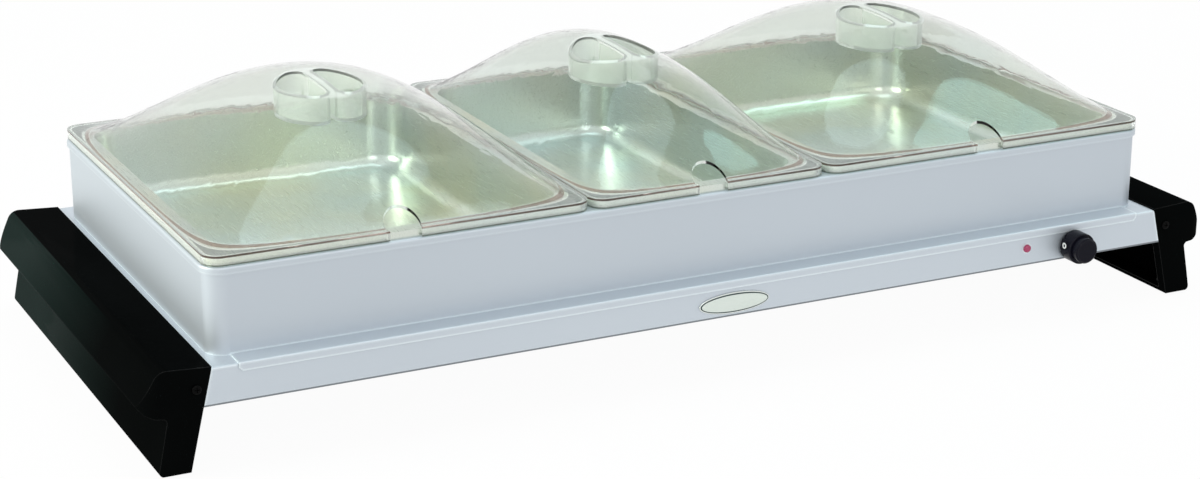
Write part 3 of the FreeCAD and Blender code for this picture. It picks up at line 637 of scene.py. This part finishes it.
class WARMER_OT_marker(bpy.types.Operator):
    """Model the flat white ring at the knob's skirt"""
    bl_idname = "warmer.marker"
    bl_label = "Knob marker"

    def execute(self, context):
        settings = context.scene.warmer_trim
        low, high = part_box("control_knob")
        place = (low[0] - MARKER_OUT, high[1] - MARKER_FORWARD,
                 (low[2] + high[2]) / 2 + MARKER_UP)
        clear_selection()
        bpy.ops.mesh.primitive_circle_add(vertices=40, radius=settings.marker / 2,
                                          fill_type="NGON", location=place,
                                          rotation=(0, -math.pi / 2, 0))
        ring = bpy.context.object
        ring.name = "knob_marker"
        bpy.ops.object.mode_set(mode="EDIT")
        bpy.ops.mesh.select_all(action="SELECT")
        bpy.ops.mesh.inset(thickness=settings.marker * MARKER_WIDTH)
        bpy.ops.mesh.delete(type="ONLY_FACE")
        bpy.ops.object.mode_set(mode="OBJECT")
        wall = ring.modifiers.new("wall", "SOLIDIFY")
        wall.thickness = MARKER_WALL
        wall.offset = 0
        apply_modifiers(ring)
        white = plain("marker_paint", (0.86, 0.87, 0.85), 0.5, spread=1.03)
        settle(ring, "knob", white)
        return {"FINISHED"}


class WARMER_OT_screws(bpy.types.Operator):
    """Model the screws in the handles' end faces and under the cover"""
    bl_idname = "warmer.screws"
    bl_label = "Screws"

    def execute(self, context):
        size = context.scene.warmer_trim.screw
        black = black_plastic("black_screw_plating", (0.001, 0.001, 0.001), 0.15, 2000,
                              gloss=0.05)
        zinc = plain("bright_screw_plating", (0.62, 0.63, 0.65), 0.3, metallic=1.0)
        low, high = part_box("base_housing")
        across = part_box("right_handle")[0][0] + HANDLE_SCREW_IN
        level = high[2] - HANDLE_SCREW_DOWN
        for side, sign in zip(SIDES, (-1, 1)):
            for end, y, turn in zip(ENDS, (low[1], high[1]), (math.pi / 2, -math.pi / 2)):
                name = f"{side}_{end}_handle_screw"
                self.screw(name, size, (sign * across, y, level), turn, "handle_plastic", black)
        low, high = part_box("bottom_cover")
        columns = (low[0] + COVER_SCREW_IN, (low[0] + high[0]) / 2, high[0] - COVER_SCREW_IN)
        rows = (low[1] + COVER_SCREW_EDGE, high[1] - COVER_SCREW_EDGE)
        for column, x in enumerate(columns):
            for end, y in zip(ENDS, rows):
                name = f"cover_screw_{end}_{column}"
                self.screw(name, size * 0.8, (x, y, low[2]), math.pi, "zinc", zinc)
        return {"FINISHED"}

    def screw(self, name, size, place, turn, slot, material):
        """A pan head with a cross recess; turned about X so that its top faces outwards."""
        tall = size * 0.3
        clear_selection()
        bpy.ops.mesh.primitive_cylinder_add(vertices=32, radius=size / 2, depth=tall,
                                            location=(0, 0, tall / 2))
        head = bpy.context.object
        head.name = name
        only(head)
        bpy.ops.object.transform_apply(location=True, rotation=True, scale=True)
        crown = head.modifiers.new("crown", "BEVEL")
        crown.width = tall * 0.7
        crown.segments = 5
        crown.limit_method = "ANGLE"
        apply_modifiers(head)
        for angle in (0, math.pi / 2):
            bpy.ops.mesh.primitive_cube_add(size=1, location=(0, 0, tall))
            tool = bpy.context.object
            tool.scale = (size * 0.5, size * 0.09, tall)
            tool.rotation_euler = (0, 0, angle)
            cut(head, tool)
        only(head)
        bpy.ops.object.shade_smooth_by_angle(angle=math.radians(35))
        head.rotation_euler = (turn, 0, 0)
        head.location = place
        settle(head, "base", material)


class WARMER_OT_lids(bpy.types.Operator):
    """Finish the clear domed lids"""
    bl_idname = "warmer.lids"
    bl_label = "Lids"

    def execute(self, context):
        for well in WELLS:
            coat_node(f"{well}_lid", clear_plastic(context.scene.warmer_plastic, well))
            smooth_node(f"{well}_lid", angle=25)
        return {"FINISHED"}


class WARMER_OT_stage(bpy.types.Operator):
    """Set the floor, the light and the camera"""
    bl_idname = "warmer.stage"
    bl_label = "Stage"

    def execute(self, context):
        settings = context.scene.warmer_stage
        self.floor()
        self.world(context.scene, settings.daylight)
        for lamp in LAMPS:
            self.lamp(*lamp)
        self.camera(context.scene, settings)
        return {"FINISHED"}

    def floor(self):
        clear_selection()
        bpy.ops.mesh.primitive_plane_add(size=12)
        floor = bpy.context.object
        floor.name = "floor"
        finish = Finish("white_floor")
        finish.set(Base_Color=(0.93, 0.93, 0.93, 1), Roughness=0.8)
        path = finish.node("ShaderNodeLightPath")
        glow = finish.node("ShaderNodeEmission", Color=(1, 1, 1, 1), Strength=1.0)
        lit = seen_rays(finish.tree, path) * FLOOR_GLOW
        final = mixed(finish, lit, finish.shader, glow)
        finish.tree.links.new(final.outputs[0], finish.output.inputs[0])
        paint(floor, finish.material)

    def world(self, scene, daylight):
        world = bpy.data.worlds.new("studio")
        scene.world = world
        world.use_nodes = True
        tree = world.node_tree
        background = tree.nodes["Background"]
        path = tree.nodes.new("ShaderNodeLightPath")
        seen = seen_rays(tree, path)
        background.inputs["Color"].default_value = (1, 1, 1, 1)
        plug(tree, background.inputs["Strength"], seen * (1 - daylight) + daylight)

    def lamp(self, name, shape, place, size, power, tint):
        clear_selection()
        bpy.ops.object.light_add(type="AREA", location=place)
        lamp = bpy.context.object
        lamp.name = name
        lamp.data.shape = shape
        lamp.data.size = size
        lamp.data.energy = power
        lamp.data.color = tint
        lamp.visible_camera = False
        aim = Vector(LAMP_TARGET) - Vector(place)
        lamp.rotation_euler = aim.to_track_quat("-Z", "Y").to_euler()

    def camera(self, scene, settings):
        clear_selection()
        turn = (math.pi / 2 - settings.dip, 0, -settings.heading)
        bpy.ops.object.camera_add(location=settings.eye, rotation=turn)
        camera = bpy.context.object
        camera.data.sensor_width = 36
        camera.data.lens = settings.lens
        camera.data.clip_end = 50
        scene.camera = camera


class WARMER_PT_panel(bpy.types.Panel):
    """The warmer's settings and its building steps"""
    bl_idname = "WARMER_PT_panel"
    bl_label = "Food warmer"
    bl_space_type = "VIEW_3D"
    bl_region_type = "UI"
    bl_category = "Warmer"

    def draw(self, context):
        for name, group in GROUPS.items():
            box = self.layout.box()
            for prop in group.__annotations__:
                box.prop(getattr(context.scene, name), prop)
        for operator in OPERATORS:
            self.layout.operator(operator.bl_idname)


OPERATORS = (
    WARMER_OT_stage,
    WARMER_OT_metal,
    WARMER_OT_handles,
    WARMER_OT_control,
    WARMER_OT_lids,
    WARMER_OT_badge,
    WARMER_OT_marker,
    WARMER_OT_screws,
)


def register():
    for group in GROUPS.values():
        bpy.utils.register_class(group)
    for name, group in GROUPS.items():
        setattr(bpy.types.Scene, name, PointerProperty(type=group))
    for operator in OPERATORS:
        bpy.utils.register_class(operator)
    bpy.utils.register_class(WARMER_PT_panel)


def unregister():
    bpy.utils.unregister_class(WARMER_PT_panel)
    for operator in reversed(OPERATORS):
        bpy.utils.unregister_class(operator)
    for name in GROUPS:
        delattr(bpy.types.Scene, name)
    for group in reversed(GROUPS.values()):
        bpy.utils.unregister_class(group)


def main():
    register()
    scene = bpy.context.scene
    scene.view_settings.view_transform = "Standard"
    for operator in OPERATORS:
        kind, name = operator.bl_idname.split(".")
        getattr(getattr(bpy.ops, kind), name)()


if __name__ == "__main__":
    main()
